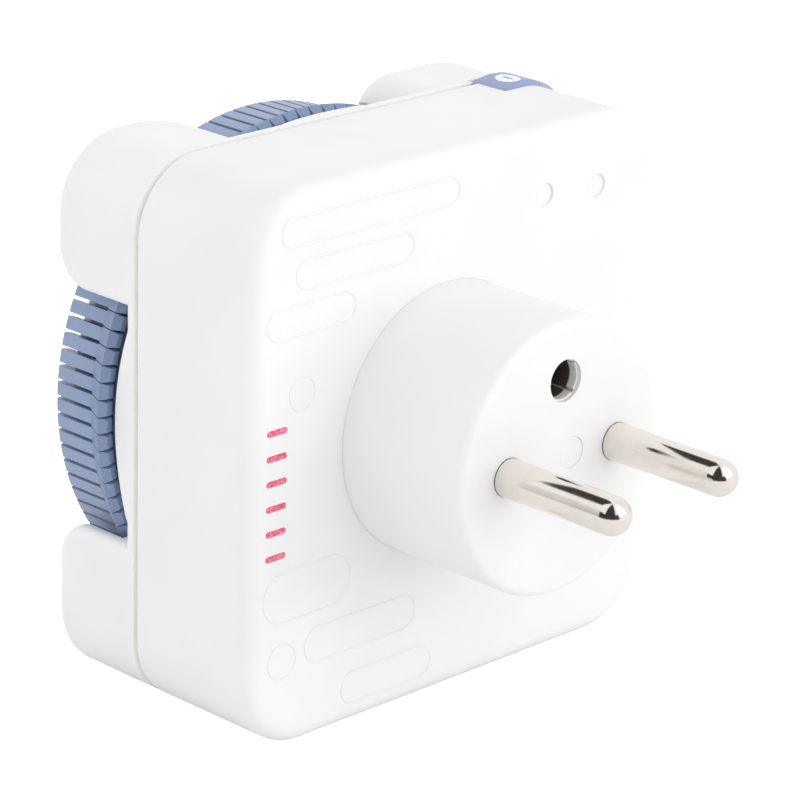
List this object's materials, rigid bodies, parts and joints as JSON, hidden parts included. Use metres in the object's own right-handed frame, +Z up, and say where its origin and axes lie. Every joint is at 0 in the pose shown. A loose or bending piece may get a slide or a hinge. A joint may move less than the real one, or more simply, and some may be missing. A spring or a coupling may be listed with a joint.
{
  "type": "plug in timer switch",
  "caption": "Square plug-in dial timer: round plug with two pins behind, blue ring of tappets round a recessed socket in front, thumb wheel selector at one corner.",
  "frame": {"origin": "centre of the plug's end face, where the pins start, on the common axis of plug, dial and socket", "axes": "+Y along the plug's pins towards the wall socket, the dial and socket face -Y, +Z is up with the earth contact above the pins"},
  "size_m": [0.0735, 0.0763, 0.0715],
  "materials": {
    "shell_plastic": "white moulded ABS, fine satin grain",
    "socket_plastic": "white glossy moulding",
    "number_plastic": "white ring with printed hours",
    "dial_plastic": "grey blue moulding",
    "selector_plastic": "blue moulding with printed marks",
    "pin_nickel": "nickel plated brass, turned",
    "brass": "stamped sheet",
    "spring_bronze": "rolled spring bronze",
    "inner_plastic": "dark grey moulding",
    "gear_plastic": "natural acetal",
    "steel": "zinc plated steel",
    "copper": "enamelled copper wire",
    "magnet": "plastic bonded ferrite",
    "lead_pvc": "PVC insulation"
  },
  "bodies": {
    "housing": {"back_shell": "shell_plastic", "plug_body": "shell_plastic", "front_cover": "shell_plastic", "live_pin": "pin_nickel", "neutral_pin": "pin_nickel", "earth_sleeve": "pin_nickel", "earth_pin": "pin_nickel", "earth_strip": "brass", "socket_insert": "socket_plastic", "contact_base": "inner_plastic", "base_screws": "steel", "neutral_clamp": "brass", "live_clamp": "brass", "live_strip": "brass", "detent_spring": "spring_bronze", "feeler_axle": "steel", "snap_switch": "inner_plastic", "switch_terminals": "brass", "motor_can": "steel", "motor_lid": "steel", "motor_screws": "steel", "coil_bobbin": "inner_plastic", "coil_winding": "copper", "intermediate_pin": "steel", "drive_pin": "steel", "switch_leads": "lead_pvc", "motor_leads": "lead_pvc"},
    "dial": {"dial_carrier": "dial_plastic", "number_ring": "number_plastic", "tappets": "dial_plastic"},
    "selector": {"selector_wheel": "selector_plastic"},
    "slide": {"override_slide": "inner_plastic"},
    "feeler": {"feeler_lever": "inner_plastic"},
    "plunger": {"switch_plunger": "gear_plastic"},
    "shutter_plate": {"shutter": "gear_plastic"},
    "motor_rotor": {"rotor": "magnet", "rotor_pinion": "gear_plastic"},
    "intermediate": {"intermediate_gear": "gear_plastic"},
    "drive": {"drive_gear": "gear_plastic"},
    "tappet_01": {"tappet_01": "dial_plastic"},
    "tappet_02": {"tappet_02": "dial_plastic"},
    "tappet_03": {"tappet_03": "dial_plastic"},
    "tappet_04": {"tappet_04": "dial_plastic"},
    "tappet_05": {"tappet_05": "dial_plastic"},
    "tappet_06": {"tappet_06": "dial_plastic"},
    "tappet_07": {"tappet_07": "dial_plastic"},
    "tappet_08": {"tappet_08": "dial_plastic"},
    "tappet_09": {"tappet_09": "dial_plastic"},
    "tappet_10": {"tappet_10": "dial_plastic"},
    "tappet_11": {"tappet_11": "dial_plastic"},
    "tappet_12": {"tappet_12": "dial_plastic"}
  },
  "joints": [
    {"name": "dial_spin", "type": "hinge", "parent": "housing", "child": "dial", "pos_m": [0, -0.05, 0], "axis": [0, 1, 0], "continuous": true},
    {"name": "selector_turn", "type": "hinge", "parent": "housing", "child": "selector", "pos_m": [-0.0295, -0.0388, 0.0244], "axis": [0, 1, 0], "range_deg": [0, 80]},
    {"name": "slide_shift", "type": "slide", "parent": "housing", "child": "slide", "axis": [-1, 0, 0], "range_m": [0, 0.00082]},
    {"name": "feeler_swing", "type": "hinge", "parent": "housing", "child": "feeler", "pos_m": [0.0276, -0.0427, 0.0274], "axis": [0, 1, 0], "range_deg": [0, 8]},
    {"name": "plunger_press", "type": "slide", "parent": "housing", "child": "plunger", "axis": [-1, 0, 0], "range_m": [0, 0.00124]},
    {"name": "shutter_turn", "type": "hinge", "parent": "housing", "child": "shutter_plate", "pos_m": [0, -0.04, 0], "axis": [0, 1, 0], "range_deg": [0, 42], "stiffness_Nm_per_rad": 0.001},
    {"name": "drive_spin", "type": "hinge", "parent": "housing", "child": "drive", "pos_m": [0, -0.0425, -0.02475], "axis": [0, 1, 0], "continuous": true},
    {"name": "intermediate_spin", "type": "hinge", "parent": "housing", "child": "intermediate", "pos_m": [-0.01087, -0.0363, -0.02184], "axis": [0, 1, 0], "continuous": true},
    {"name": "rotor_spin", "type": "hinge", "parent": "housing", "child": "motor_rotor", "pos_m": [-0.02207, -0.0285, -0.02282], "axis": [0, 1, 0], "continuous": true},
    {"name": "tappet_01_flip", "type": "hinge", "parent": "dial", "child": "tappet_01", "pos_m": [0.02942, -0.047, -0.01038], "axis": [0.3326, 0, 0.9431], "range_deg": [0, 8]},
    {"name": "tappet_02_flip", "type": "hinge", "parent": "dial", "child": "tappet_02", "pos_m": [0.03004, -0.047, -0.00843], "axis": [0.2702, 0, 0.9628], "range_deg": [0, 8]},
    {"name": "tappet_03_flip", "type": "hinge", "parent": "dial", "child": "tappet_03", "pos_m": [0.03053, -0.047, -0.00645], "axis": [0.2066, 0, 0.9784], "range_deg": [0, 8]},
    {"name": "tappet_04_flip", "type": "hinge", "parent": "dial", "child": "tappet_04", "pos_m": [0.03088, -0.047, -0.00444], "axis": [0.1422, 0, 0.9898], "range_deg": [0, 8]},
    {"name": "tappet_05_flip", "type": "hinge", "parent": "dial", "child": "tappet_05", "pos_m": [0.03111, -0.047, -0.00241], "axis": [0.0772, 0, 0.997], "range_deg": [0, 8]},
    {"name": "tappet_06_flip", "type": "hinge", "parent": "dial", "child": "tappet_06", "pos_m": [0.0312, -0.047, -0.00037], "axis": [0.0118, 0, 0.9999], "range_deg": [0, 8]},
    {"name": "tappet_07_flip", "type": "hinge", "parent": "dial", "child": "tappet_07", "pos_m": [0.03116, -0.047, 0.00167], "axis": [-0.0536, 0, 0.9986], "range_deg": [0, 8]},
    {"name": "tappet_08_flip", "type": "hinge", "parent": "dial", "child": "tappet_08", "pos_m": [0.03098, -0.047, 0.00371], "axis": [-0.1188, 0, 0.9929], "range_deg": [0, 8]},
    {"name": "tappet_09_flip", "type": "hinge", "parent": "dial", "child": "tappet_09", "pos_m": [0.03067, -0.047, 0.00573], "axis": [-0.1835, 0, 0.983], "range_deg": [0, 8]},
    {"name": "tappet_10_flip", "type": "hinge", "parent": "dial", "child": "tappet_10", "pos_m": [0.03023, -0.047, 0.00772], "axis": [-0.2474, 0, 0.9689], "range_deg": [0, 8]},
    {"name": "tappet_11_flip", "type": "hinge", "parent": "dial", "child": "tappet_11", "pos_m": [0.02966, -0.047, 0.00968], "axis": [-0.3103, 0, 0.9507], "range_deg": [0, 8]},
    {"name": "tappet_12_flip", "type": "hinge", "parent": "dial", "child": "tappet_12", "pos_m": [0.02896, -0.047, 0.0116], "axis": [-0.3718, 0, 0.9283], "range_deg": [0, 8]}
  ],
  "couplings": [
    {"joint": "slide_shift", "follows": "selector_turn", "m_per_rad": 0.00058728},
    {"joint": "feeler_swing", "follows": "selector_turn", "ratio": 0.1},
    {"joint": "plunger_press", "follows": "selector_turn", "m_per_rad": 0.00089023},
    {"joint": "drive_spin", "follows": "dial_spin", "ratio": 12},
    {"joint": "intermediate_spin", "follows": "dial_spin", "ratio": -48},
    {"joint": "rotor_spin", "follows": "dial_spin", "ratio": 192}
  ]
}
